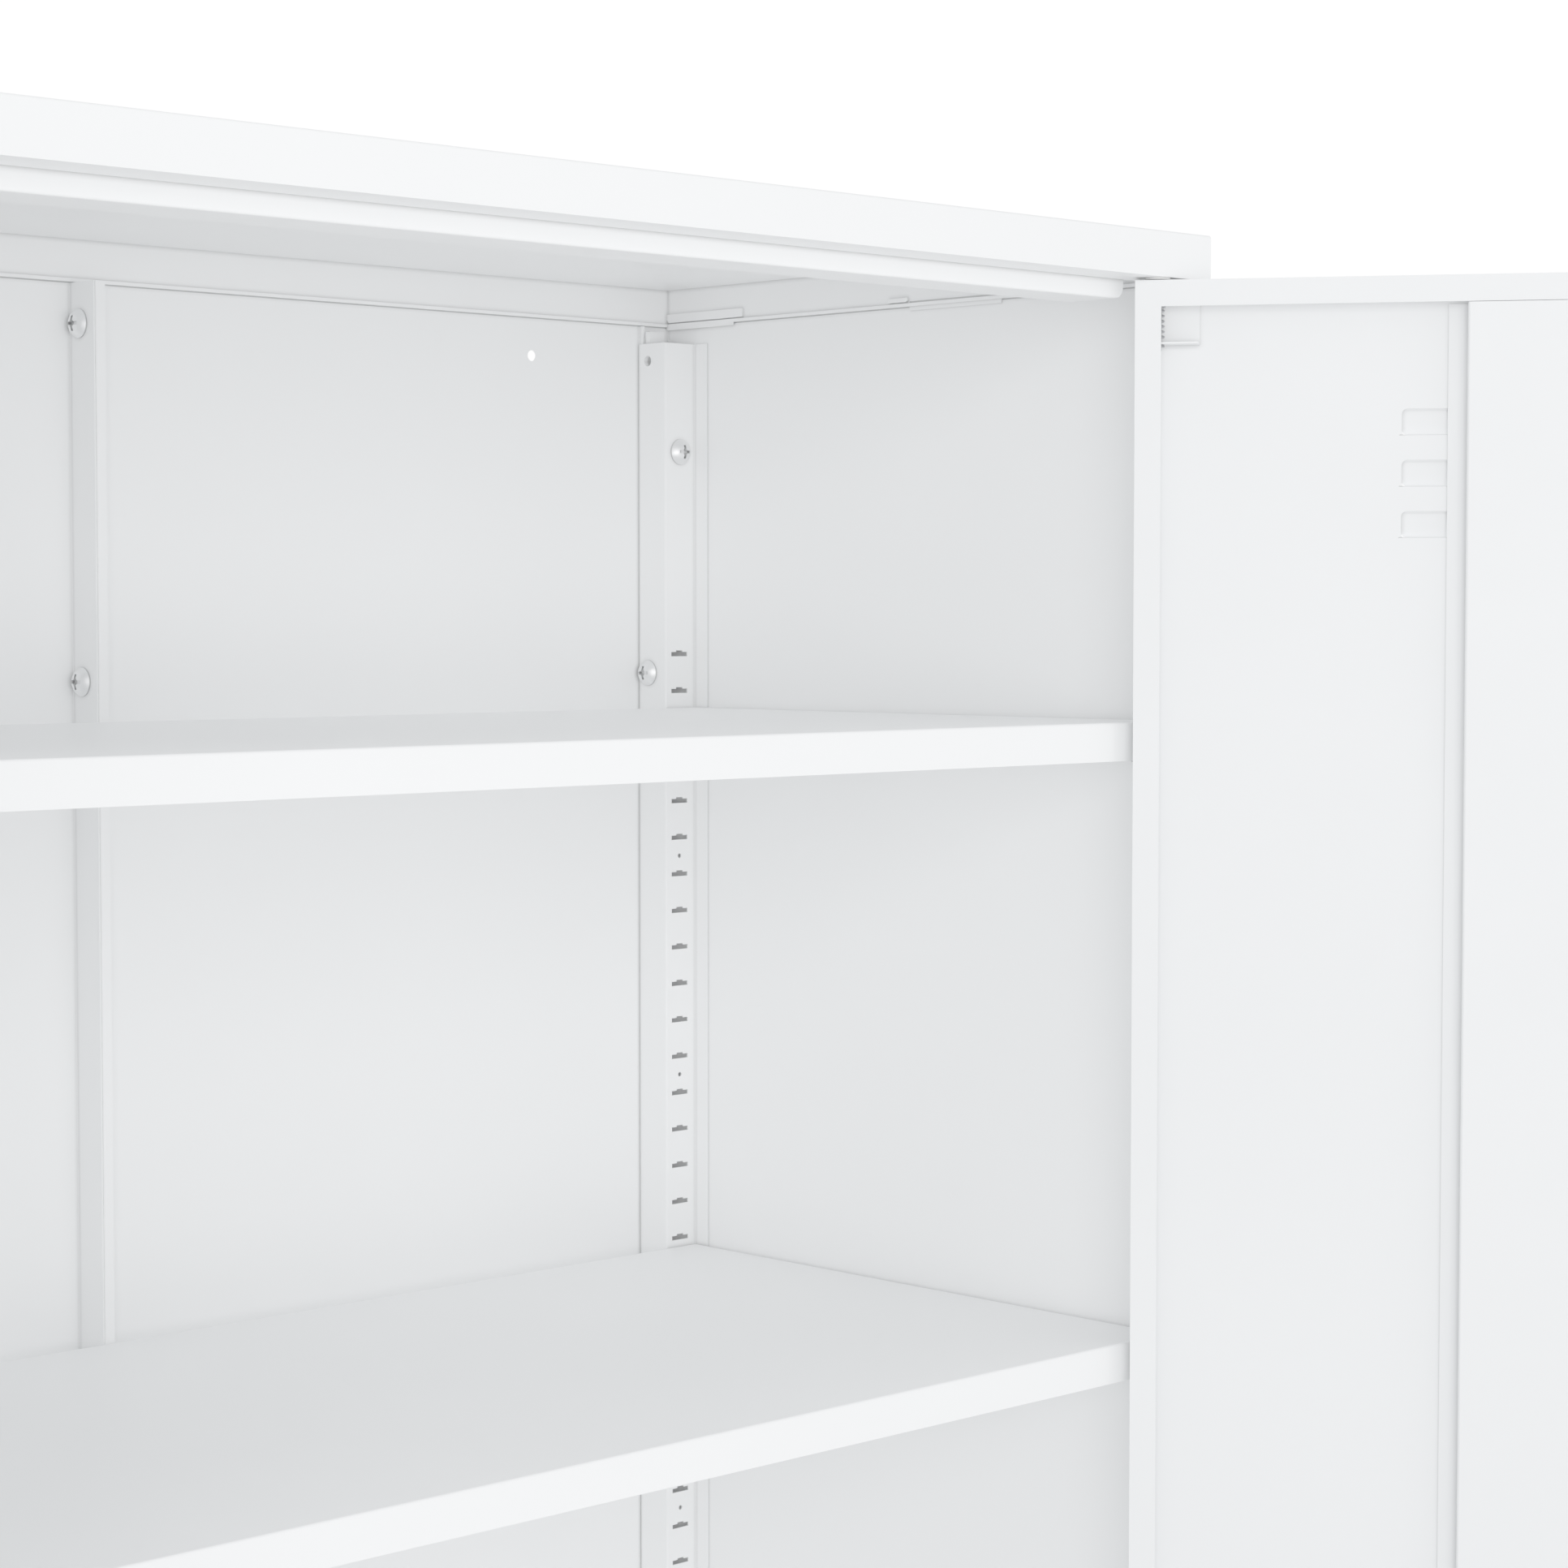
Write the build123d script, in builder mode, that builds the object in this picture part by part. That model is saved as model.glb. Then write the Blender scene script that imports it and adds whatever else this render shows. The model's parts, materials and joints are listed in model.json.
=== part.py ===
from build123d import *
import math
import os

os.makedirs("parts", exist_ok=True)

# ---- overall size, in mm ----
WIDTH = 914.0
DEPTH = 457.0
HEIGHT = 1829.0
SHEET = 0.8
BEND = 0.6  # inside radius of a fold
HALF = WIDTH / 2

# ---- doors ----
PIN_X = 420.0  # hinge axis from the middle plane
PIN_DEPTH = 8.5  # hinge axis behind the front plane
OPEN_ANGLE = 124.5  # the doors stand open against the stiles
DOOR_HALF = 8.0  # half the door's thickness
HINGE_EDGE = 12.0  # hinge-side edge beyond the axis
FREE_EDGE = 418.5  # free edge from the axis
DOOR_GAP = 1.7
LIP = 14.6  # width of the inner lips
STRIP_REACH = 12.0  # meeting strip beyond the left door's free edge

# ---- cap, base and their door steps ----
CAP_FOLD = 25.6
CAP_SKIRT = 25.0
STEP_BACK = 28.4  # door step behind the front plane
STEP_HEIGHT = 10.7
BASE_RAIL = 60.0
FLOOR = BASE_RAIL + STEP_HEIGHT
SEAM_GAP = 0.7  # dark joint line between a panel and the cap or base
PANEL_LOW = FLOOR + SEAM_GAP
PANEL_HIGH = HEIGHT - CAP_SKIRT - SEAM_GAP
DOOR_TOP = HEIGHT - CAP_FOLD - DOOR_GAP
DOOR_LOW = BASE_RAIL + DOOR_GAP

# ---- posts, slots and shelves ----
POST_FACE = 429.8  # inner face of a post, from the middle plane
REAR_FACE = 429.8  # slotted face of the rear posts, behind the front plane
FRONT_FACE = 25.0  # slotted face of the front posts
POST_TOP = HEIGHT - 37.5
SLOT_X = 441.6
SLOT_PITCH = 24.0
SLOT_FIRST = HEIGHT - 239.5
SLOT_COUNT = 61
SHELF_TOPS = [HEIGHT - 274.5, HEIGHT - 629.0, HEIGHT - 989.0, HEIGHT - 1349.0]
SHELF_LIP = 22.0
SHELF_HALF = 453.7
SHELF_FRONT = 26.7
SHELF_REAR = 428.2
CLIP_SLOTS = [SLOT_FIRST - SLOT_PITCH * (2 + 15 * i) for i in range(4)]

# The origin is under the middle of everything, with the doors open as stored.
SWING = math.radians(180.0 - OPEN_ANGLE)
STRIP_DEEP = DOOR_HALF + 1.1
REACH = (FREE_EDGE + STRIP_REACH) * math.sin(SWING) + STRIP_DEEP * math.cos(SWING) - PIN_DEPTH
FRONT = (REACH - DEPTH) / 2
BACK = FRONT + DEPTH


def save(part, name):
    part.label = name
    export_step(part, "parts/" + name + ".step")


def slab(x, y, z, mode=Mode.ADD):
    """A block between two limits along each axis."""
    middle = ((x[0] + x[1]) / 2, (y[0] + y[1]) / 2, (z[0] + z[1]) / 2)
    with Locations(middle):
        Box(abs(x[1] - x[0]), abs(y[1] - y[0]), abs(z[1] - z[0]), mode=mode)


def behind(points):
    """Points given as x and distance behind the front plane."""
    return [(x, FRONT + deep) for x, deep in points]


def drip_edge(z0, z1):
    """Thin outer edge that closes the joint line between the panels and the cap or base."""
    for side in (-1, 1):
        slab((side * (HALF - 0.2), side * HALF), (FRONT + STEP_BACK + 0.5, BACK), (z0, z1))
    slab((-HALF, HALF), (BACK - 0.2, BACK), (z0, z1))


def fold(path, plane, left=True, flip=1, thick=SHEET):
    """The section of a folded sheet that lies on one side of a path."""
    sign = 1 if left else -1
    ways = []
    for a, b in zip(path, path[1:]):
        length = math.hypot(b[0] - a[0], b[1] - a[1])
        ways.append(((b[0] - a[0]) / length, (b[1] - a[1]) / length))
    far = []
    near_r = [0.0]
    far_r = [0.0]
    for i, point in enumerate(path):
        before = ways[max(i - 1, 0)]
        after = ways[min(i, len(ways) - 1)]
        n1 = (-before[1] * sign, before[0] * sign)
        n2 = (-after[1] * sign, after[0] * sign)
        scale = thick / (1 + n1[0] * n2[0] + n1[1] * n2[1])
        far.append((point[0] + (n1[0] + n2[0]) * scale, point[1] + (n1[1] + n2[1]) * scale))
        if 0 < i < len(path) - 1:
            turn = (before[0] * after[1] - before[1] * after[0]) * sign
            near_r.append(BEND + thick if turn > 0 else BEND)
            far_r.append(BEND if turn > 0 else BEND + thick)
    near_r.append(0.0)
    far_r.append(0.0)
    outline = [(x * flip, y) for x, y in list(path) + far[::-1]]
    with BuildSketch(plane) as section:
        with BuildLine():
            FilletPolyline(*outline, radius=near_r + far_r[::-1], close=True)
        make_face()
    return section.sketch


# ---- screws and nuts shared by the carcass ----
HEAD_R = 8.3
HEAD_TALL = 5.2
SHANK_R = 2.9


def mushroom_screw(grip):
    """Cross-recess mushroom head on z = 0 with its shank going down."""
    with BuildPart() as screw:
        with BuildSketch(Plane.XZ) as half:
            with BuildLine():
                rim = Line((0, 0), (HEAD_R, 0))
                edge = Line(rim @ 1, (HEAD_R, 0.9))
                dome = ThreePointArc(edge @ 1, (HEAD_R * 0.62, HEAD_TALL * 0.8), (0, HEAD_TALL))
                Line(dome @ 1, (0, 0))
            make_face()
        revolve(half.sketch, Axis.Z)
        with Locations((0, 0, -grip / 2)):
            Cylinder(SHANK_R, grip)
        with Locations((0, 0, HEAD_TALL)):
            Box(8.8, 1.9, 5.0, mode=Mode.SUBTRACT)
            Box(1.9, 8.8, 5.0, mode=Mode.SUBTRACT)
            Cylinder(2.1, 5.4, mode=Mode.SUBTRACT)
    return screw.part


def hex_nut(tall, flats, hole):
    """Nut from z = 0 down."""
    with BuildPart() as nut:
        with BuildSketch(Plane.XY.offset(-tall)):
            RegularPolygon(flats / 2, 6, major_radius=False)
            Circle(hole, mode=Mode.SUBTRACT)
        extrude(amount=tall)
    return nut.part


SEAM_HEIGHTS = [HEIGHT - 49.1, HEIGHT - 251.9, HEIGHT / 2, 251.9, 110.0]
POST_SIDE_HEIGHTS = [HEIGHT - 251.8, HEIGHT / 2, 251.8]
POST_FACE_HEIGHTS = [HEIGHT - 107.9, 117.0]
SCREW_DEEP = 447.0
SEAM_LEFT = -2.1
POST_SCREW_X = 442.7

# ---- cap ----
with BuildPart() as top_cap:
    slab((-HALF, HALF), (FRONT, BACK), (HEIGHT - CAP_FOLD, HEIGHT))
    outer = top_cap.edges().filter_by(Axis.Z).sort_by(Axis.Y)[:2]
    fillet(outer, 1.4)
    fillet(top_cap.faces().sort_by(Axis.Z)[-1].edges(), 1.4)
    slab((-HALF + SHEET, HALF - SHEET), (FRONT + SHEET, BACK - SHEET),
         (HEIGHT - CAP_FOLD + SHEET, HEIGHT - SHEET), Mode.SUBTRACT)
    slab((-HALF + SHEET, HALF - SHEET), (FRONT + STEP_BACK - 0.6, BACK - SHEET),
         (HEIGHT - CAP_FOLD - 1, HEIGHT - CAP_FOLD + 2), Mode.SUBTRACT)
    slab((-HALF - 1, HALF + 1), (FRONT + STEP_BACK, BACK + 1),
         (HEIGHT - CAP_FOLD - 1, HEIGHT - CAP_SKIRT), Mode.SUBTRACT)
    for side in (-1, 1):
        inner = HALF - 2.5
        low = HEIGHT - CAP_SKIRT
        wall = HALF - SHEET
        # hem along the foot of the side skirt, open over the side panel's hook
        slab((side * inner, side * (HALF - 0.2)), (FRONT + STEP_BACK, BACK - SHEET),
             (low, low + SHEET))
        slab((side * (inner + SHEET), side * wall), (FRONT + 158.4, FRONT + 235.6),
             (low - 1, low + SHEET + 0.2), Mode.SUBTRACT)
        slab((side * inner, side * (inner + SHEET)), (FRONT + STEP_BACK, BACK - SHEET),
             (low, low + 2.0))
        # pressed slit and notch over the hook
        slab((side * (wall - 1), side * (wall + 0.5)), (FRONT + 158.4, FRONT + 235.6),
             (low + 1.0, low + 3.2), Mode.SUBTRACT)
        slab((side * (wall - 1), side * (wall + 0.5)), (FRONT + 147.0, FRONT + 157.0),
             (low + 1.0, low + 6.0), Mode.SUBTRACT)
        # corner tabs on the skirt's inner face
        for start, end, height, bevel in (
                (384.0, DEPTH - SHEET + 0.2, 16.6, 2.6), (236.4, 253.0, 19.5, 1.2)):
            tab = Plane((side * (wall - 1.6), 0, 0), x_dir=(0, 1, 0), z_dir=(1, 0, 0))
            with BuildSketch(tab) as tab_outline:
                with Locations((FRONT + (start + end) / 2, HEIGHT - (22.1 + height) / 2)):
                    Rectangle(end - start, 22.1 - height)
                corner = tab_outline.vertices().group_by(Axis.Y)[0].sort_by(Axis.Z)[-1]
                chamfer(corner, bevel)
            extrude(tab_outline.sketch, amount=1.7, dir=(side, 0, 0))
        # lower lip near the back corner
        slab((side * inner, side * (inner + SHEET)), (FRONT + 392.0, BACK - SHEET),
             (HEIGHT - 27.0, low + 0.2))
        # hole for the hinge bush
        with Locations((side * PIN_X, FRONT + PIN_DEPTH, HEIGHT - CAP_FOLD)):
            Cylinder(5.0, 6, mode=Mode.SUBTRACT)
    # hem along the foot of the back skirt
    low = HEIGHT - CAP_SKIRT
    slab((-HALF + 2.0, HALF - 2.0), (BACK - 2.4, BACK - 0.2), (low, low + SHEET))
    slab((-HALF + 2.0, HALF - 2.0), (BACK - 2.4, BACK - 1.6), (low, low + 2.0))
    drip_edge(low - SEAM_GAP + 0.05, low)
save(top_cap.part, "top_cap")

# ---- header channel, the step that the doors close against ----
HEADER_HALF = 413.4
HEADER_LOW = HEIGHT - CAP_FOLD - STEP_HEIGHT
header_path = [
    (FRONT + 4.0, HEIGHT - CAP_FOLD + SHEET),
    (FRONT + STEP_BACK, HEIGHT - CAP_FOLD + SHEET),
    (FRONT + STEP_BACK, HEADER_LOW),
    (FRONT + 63.6, HEADER_LOW),
    (FRONT + 63.6, HEIGHT - 12.0),
]
with BuildPart() as header_channel:
    header_section = fold(header_path, Plane.YZ)
    extrude(header_section, amount=HEADER_HALF, dir=(1, 0, 0), both=True)
    with BuildSketch(Plane.XZ.offset(-FRONT)) as header_outline:
        with Locations((0, HEIGHT)):
            Rectangle(2 * HEADER_HALF, 2 * (HEIGHT - HEADER_LOW))
        fillet(header_outline.vertices().group_by(Axis.Y)[0], 7.0)
    extrude(header_outline.sketch, amount=100, dir=(0, 1, 0), mode=Mode.INTERSECT)
save(header_channel.part, "header_channel")

# ---- base ----
RETURN = 22.0
BOLT_X = -25.0
with BuildPart() as base_pan:
    slab((-HALF, HALF), (FRONT, BACK), (0, FLOOR))
    slab((-HALF - 1, HALF + 1), (FRONT - 1, FRONT + STEP_BACK), (BASE_RAIL, FLOOR + 1), Mode.SUBTRACT)
    fillet(base_pan.edges().filter_by(Axis.Z).group_by(Axis.Y)[0], 1.4)
    front_top = base_pan.edges().filter_by(Axis.X).filter_by_position(Axis.Y, FRONT - 0.1, FRONT + 0.1)
    fillet(front_top.sort_by(Axis.Z)[-1], 1.4)
    slab((-HALF + SHEET, HALF - SHEET), (FRONT + STEP_BACK + SHEET, BACK - SHEET),
         (SHEET, FLOOR - SHEET), Mode.SUBTRACT)
    slab((-HALF + SHEET, HALF - SHEET), (FRONT + SHEET, FRONT + STEP_BACK + SHEET + 1),
         (SHEET, BASE_RAIL - SHEET), Mode.SUBTRACT)
    slab((-HALF + RETURN, HALF - RETURN), (FRONT + RETURN, BACK - RETURN), (-1, SHEET + 1), Mode.SUBTRACT)
    for side in (-1, 1):
        with Locations((side * PIN_X, FRONT + PIN_DEPTH, BASE_RAIL)):
            Cylinder(6.0, 6, mode=Mode.SUBTRACT)
        for deep in (120.0, 300.0):
            slab((side * (HALF - 2.6), side * (HALF - 0.8)), (FRONT + deep, FRONT + deep + 77.2),
                 (FLOOR - 2, FLOOR + 1), Mode.SUBTRACT)
        # holes over the levelling feet
        for foot_y in (FRONT + 50.0, BACK - 42.0):
            with Locations((side * (HALF - 42.0), foot_y, FLOOR)):
                Cylinder(6.5, 6, mode=Mode.SUBTRACT)
    with Locations((BOLT_X, FRONT + PIN_DEPTH, BASE_RAIL)):
        Cylinder(4.5, 6, mode=Mode.SUBTRACT)
    drip_edge(FLOOR, FLOOR + SEAM_GAP - 0.05)
save(base_pan.part, "base_pan")


# ---- sides, with a front stile and a rear corner box ----
STILE = 21.0
for side, word in ((1, "right"), (-1, "left")):
    side_path = behind([
        (HALF - STILE, 21.0),
        (HALF - STILE, 0.0),
        (HALF, 0.0),
        (HALF, DEPTH),
        (POST_FACE + 2 * SHEET, DEPTH),
        (POST_FACE + 2 * SHEET, 431.4),
    ])
    side_section = fold(side_path, Plane.XY.offset(PANEL_LOW), flip=side)
    foot_path = behind([(HALF - STILE, 0.0), (HALF, 0.0), (HALF, STEP_BACK - 0.3)])
    foot_section = fold(foot_path, Plane.XY.offset(PANEL_LOW - 10.6), flip=side)
    with BuildPart() as side_panel:
        extrude(side_section, amount=PANEL_HIGH - PANEL_LOW, dir=(0, 0, 1))
        # clear of the cap's deeper front fold, and down to the base's rail
        slab((side * (HALF - 40), side * (HALF + 1)), (FRONT - 1, FRONT + STEP_BACK + 0.3),
             (HEIGHT - CAP_FOLD - 0.3, HEIGHT), Mode.SUBTRACT)
        extrude(foot_section, amount=STEP_HEIGHT + 0.2, dir=(0, 0, 1))
        # hooks up into the cap and down into the base
        slab((side * (HALF - 1.6), side * (HALF - SHEET)), (FRONT + 159.0, FRONT + 235.0),
             (PANEL_HIGH - 1.8, PANEL_HIGH + 2.0))
        for deep in (120.0, 300.0):
            slab((side * (HALF - 1.6), side * (HALF - SHEET)), (FRONT + deep + 0.6, FRONT + deep + 76.6),
                 (PANEL_LOW - 12.0, PANEL_LOW + 1.8))
        # the corner box is notched over the rear post, which leaves room for a tab
        slab((side * (POST_FACE + SHEET), side * (POST_FACE + 9)), (FRONT + 425.0, FRONT + 452.5),
             (POST_TOP + 0.5, HEIGHT), Mode.SUBTRACT)
        slab((side * (POST_FACE + 3 * SHEET), side * (POST_FACE + 4 * SHEET)),
             (FRONT + 447.3, FRONT + 451.6), (HEIGHT - 60.0, HEIGHT - 29.4))
        slab((side * (POST_FACE + 3 * SHEET), side * 444.0), (FRONT + 447.3, FRONT + 448.1),
             (HEIGHT - 60.0, HEIGHT - 29.4))
        with Locations(Location((side * (POST_FACE + 2), FRONT + SCREW_DEEP, HEIGHT - 48.6), (0, 90, 0))):
            Cylinder(3.45, 4, mode=Mode.SUBTRACT)
        for z in POST_SIDE_HEIGHTS:
            with Locations(Location((side * (POST_FACE + 2), FRONT + SCREW_DEEP, z), (0, 90, 0))):
                Cylinder(SHANK_R, 4, mode=Mode.SUBTRACT)
    save(side_panel.part, "side_panel_" + word)

# ---- back panels, joined by flanges that stand forward at the middle ----
ANCHOR_X = 339.2
ANCHOR_Z = HEIGHT - 49.2
for side, word in ((1, "right"), (-1, "left")):
    if side > 0:
        back_path = behind([
            (5.0, 431.2),
            (SEAM_LEFT + SHEET, 431.2),
            (SEAM_LEFT + SHEET, DEPTH),
            (POST_FACE + 2 * SHEET, DEPTH),
            (POST_FACE + 2 * SHEET, 431.4),
        ])
        back_section = fold(back_path, Plane.XY.offset(PANEL_LOW), left=False)
    else:
        back_path = behind([
            (SEAM_LEFT + SHEET, 432.0),
            (SEAM_LEFT + SHEET, DEPTH),
            (-POST_FACE - 2 * SHEET, DEPTH),
            (-POST_FACE - 2 * SHEET, 431.4),
        ])
        back_section = fold(back_path, Plane.XY.offset(PANEL_LOW))
    with BuildPart() as back_panel:
        extrude(back_section, amount=PANEL_HIGH - PANEL_LOW, dir=(0, 0, 1))
        slab((side * (POST_FACE - 9), side * (POST_FACE + 9)), (FRONT + 425.0, FRONT + 452.5),
             (POST_TOP + 0.5, HEIGHT), Mode.SUBTRACT)
        with Locations(Location((side * (POST_FACE + 1), FRONT + SCREW_DEEP, HEIGHT - 48.6), (0, 90, 0))):
            Cylinder(3.45, 3, mode=Mode.SUBTRACT)
        with Locations(Location((side * ANCHOR_X, BACK, ANCHOR_Z), (90, 0, 0))):
            Cylinder(3.35, 6, mode=Mode.SUBTRACT)
        for z in SEAM_HEIGHTS:
            with Locations(Location((SEAM_LEFT + SHEET, FRONT + SCREW_DEEP, z), (0, 90, 0))):
                Cylinder(SHANK_R, 3, mode=Mode.SUBTRACT)
        for z in POST_SIDE_HEIGHTS:
            with Locations(Location((side * (POST_FACE + 1), FRONT + SCREW_DEEP, z), (0, 90, 0))):
                Cylinder(SHANK_R, 3, mode=Mode.SUBTRACT)
    save(back_panel.part, "back_panel_" + word)


# ---- slotted posts ----
def slot_pattern(side, y):
    """Slots with a small raised notch, and a round hole at every sixth gap."""
    with BuildSketch(Plane.XZ.offset(-y)) as slots:
        for i in range(SLOT_COUNT):
            with Locations((side * SLOT_X, SLOT_FIRST - i * SLOT_PITCH)):
                Rectangle(14.0, 2.9)
            with Locations((side * SLOT_X, SLOT_FIRST - i * SLOT_PITCH + 1.7)):
                Rectangle(5.6, 1.5)
        for i in range(10):
            with Locations((side * SLOT_X, SLOT_FIRST - (5.5 + 6 * i) * SLOT_PITCH)):
                Circle(1.5)
    return slots.sketch


for side, word in ((1, "right"), (-1, "left")):
    rear_path = behind([
        (POST_FACE, DEPTH - 2 * SHEET),
        (POST_FACE, REAR_FACE),
        (HALF - 2 * SHEET, REAR_FACE),
        (HALF - 2 * SHEET, 417.7),
    ])
    rear_section = fold(rear_path, Plane.XY.offset(PANEL_LOW), flip=side)
    with BuildPart() as rear_post:
        extrude(rear_section, amount=POST_TOP - PANEL_LOW, dir=(0, 0, 1))
        extrude(slot_pattern(side, FRONT + REAR_FACE), amount=3, dir=(0, 1, 0),
                both=True, mode=Mode.SUBTRACT)
        for z in POST_SIDE_HEIGHTS:
            with Locations(Location((side * POST_FACE, FRONT + SCREW_DEEP, z), (0, 90, 0))):
                Cylinder(SHANK_R, 3, mode=Mode.SUBTRACT)
        with Locations(Location((side * POST_FACE, FRONT + SCREW_DEEP, HEIGHT - 48.6), (0, 90, 0))):
            Cylinder(3.45, 3, mode=Mode.SUBTRACT)
        for z in POST_FACE_HEIGHTS:
            with Locations(Location((side * POST_SCREW_X, FRONT + REAR_FACE, z), (90, 0, 0))):
                Cylinder(SHANK_R, 3, mode=Mode.SUBTRACT)
    save(rear_post.part, "rear_post_" + word)

    # the front post's sheet lies in front of its slotted face and inside its side flange
    front_path = behind([
        (POST_FACE + SHEET, 19.0),
        (POST_FACE + SHEET, FRONT_FACE - SHEET),
        (HALF - SHEET, FRONT_FACE - SHEET),
        (HALF - SHEET, 45.0),
    ])
    front_section = fold(front_path, Plane.XY.offset(PANEL_LOW), flip=side)
    with BuildPart() as front_post:
        extrude(front_section, amount=POST_TOP - PANEL_LOW, dir=(0, 0, 1))
        extrude(slot_pattern(side, FRONT + FRONT_FACE), amount=2, dir=(0, 1, 0),
                both=True, mode=Mode.SUBTRACT)
    save(front_post.part, "front_post_" + word)

# ---- weld brackets behind the rear posts ----
with BuildPart() as post_brackets:
    for side in (-1, 1):
        for z in POST_FACE_HEIGHTS:
            slab((side * 433.4, side * (HALF - SHEET)), (FRONT + REAR_FACE + SHEET, FRONT + REAR_FACE + 2.0),
                 (z - 18, z + 18))
            slab((side * (HALF - 2.0), side * (HALF - SHEET)), (FRONT + REAR_FACE + SHEET, FRONT + 448.0),
                 (z - 18, z + 18))
            with Locations(Location((side * POST_SCREW_X, FRONT + REAR_FACE + 2, z), (90, 0, 0))):
                Cylinder(SHANK_R, 6, mode=Mode.SUBTRACT)
save(post_brackets.part, "post_brackets")

# ---- screws and nuts ----
seam_screw = mushroom_screw(8.0)
side_screw = mushroom_screw(9.0)
nut_m6 = hex_nut(4.5, 10.0, SHANK_R)
with BuildPart() as seam_screws:
    for z in SEAM_HEIGHTS:
        place = Plane((SEAM_LEFT, FRONT + SCREW_DEEP, z), x_dir=(0, 1, 0), z_dir=(-1, 0, 0))
        add(place.location * seam_screw)
save(seam_screws.part, "seam_screws")

with BuildPart() as seam_nuts:
    for z in SEAM_HEIGHTS:
        place = Plane((SEAM_LEFT + 2 * SHEET, FRONT + SCREW_DEEP, z), x_dir=(0, 0, 1), z_dir=(-1, 0, 0))
        add(place.location * nut_m6)
save(seam_nuts.part, "seam_nuts")

with BuildPart() as post_screws:
    for side in (-1, 1):
        for z in POST_SIDE_HEIGHTS:
            place = Plane((side * POST_FACE, FRONT + SCREW_DEEP, z), x_dir=(0, 1, 0), z_dir=(-side, 0, 0))
            add(place.location * side_screw)
        for z in POST_FACE_HEIGHTS:
            place = Plane((side * POST_SCREW_X, FRONT + REAR_FACE, z), x_dir=(1, 0, 0), z_dir=(0, -1, 0))
            add(place.location * side_screw)
save(post_screws.part, "post_screws")

with BuildPart() as post_nuts:
    for side in (-1, 1):
        for z in POST_SIDE_HEIGHTS:
            place = Plane((side * (POST_FACE + 3 * SHEET), FRONT + SCREW_DEEP, z), x_dir=(0, 0, 1),
                          z_dir=(-side, 0, 0))
            add(place.location * nut_m6)
        for z in POST_FACE_HEIGHTS:
            place = Plane((side * POST_SCREW_X, FRONT + REAR_FACE + 2.0, z), x_dir=(0, 0, 1),
                          z_dir=(0, -1, 0))
            add(place.location * nut_m6)
save(post_nuts.part, "post_nuts")

# ---- shelf clips ----
CLIP_THICK = 1.0
CLIP_HALF = 6.3
with BuildPart() as shelf_clips:
    for top, slot_z in zip(SHELF_TOPS, CLIP_SLOTS):
        tab_z = top - SHELF_LIP - 0.3
        for side in (-1, 1):
            for face, way in ((REAR_FACE, 1), (FRONT_FACE, -1)):
                x_span = (side * (SLOT_X - CLIP_HALF), side * (SLOT_X + CLIP_HALF))
                near = FRONT + face - way * 0.1
                body = (near - way * CLIP_THICK, near)
                body = (min(body), max(body))
                slab(x_span, body, (tab_z - CLIP_THICK, slot_z + 0.9))
                tab = (near - way * 14.0, near)
                slab(x_span, (min(tab), max(tab)), (tab_z - CLIP_THICK, tab_z))
                through = (near - way * 0.5, near + way * 3.0)
                slab(x_span, (min(through), max(through)), (slot_z - 0.9, slot_z + 0.9))
                hook = (near + way * 1.4, near + way * 3.0)
                slab(x_span, (min(hook), max(hook)), (slot_z - 7.0, slot_z + 0.9))
save(shelf_clips.part, "shelf_clips")


# ---- shelves ----
STIFF_HALF = 40.0
SHELF_MIDDLE = FRONT + (SHELF_FRONT + SHELF_REAR) / 2
for number, top in enumerate(SHELF_TOPS, start=1):
    with BuildPart() as shelf:
        slab((-SHELF_HALF, SHELF_HALF), (FRONT + SHELF_FRONT, FRONT + SHELF_REAR), (top - SHELF_LIP, top))
        fillet(shelf.faces().sort_by(Axis.Z)[-1].edges(), 1.4)
        slab((-SHELF_HALF + SHEET, SHELF_HALF - SHEET),
             (FRONT + SHELF_FRONT + SHEET, FRONT + SHELF_REAR - SHEET),
             (top - SHELF_LIP + SHEET, top - SHEET), Mode.SUBTRACT)
        slab((-SHELF_HALF + 12, SHELF_HALF - 12),
             (FRONT + SHELF_FRONT + 12, FRONT + SHELF_REAR - 12),
             (top - SHELF_LIP - 1, top - SHELF_LIP + 2), Mode.SUBTRACT)
    save(shelf.part, "shelf_" + str(number))
    hat_path = [
        (SHELF_MIDDLE - STIFF_HALF, top - SHEET),
        (SHELF_MIDDLE - STIFF_HALF + 14, top - SHEET),
        (SHELF_MIDDLE - STIFF_HALF + 14, top - 17.0),
        (SHELF_MIDDLE + STIFF_HALF - 14, top - 17.0),
        (SHELF_MIDDLE + STIFF_HALF - 14, top - SHEET),
        (SHELF_MIDDLE + STIFF_HALF, top - SHEET),
    ]
    with BuildPart() as shelf_stiffener:
        hat_section = fold(hat_path, Plane.YZ, left=False)
        extrude(hat_section, amount=SHELF_HALF - 14, dir=(1, 0, 0), both=True)
    save(shelf_stiffener.part, "shelf_stiffener_" + str(number))

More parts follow.
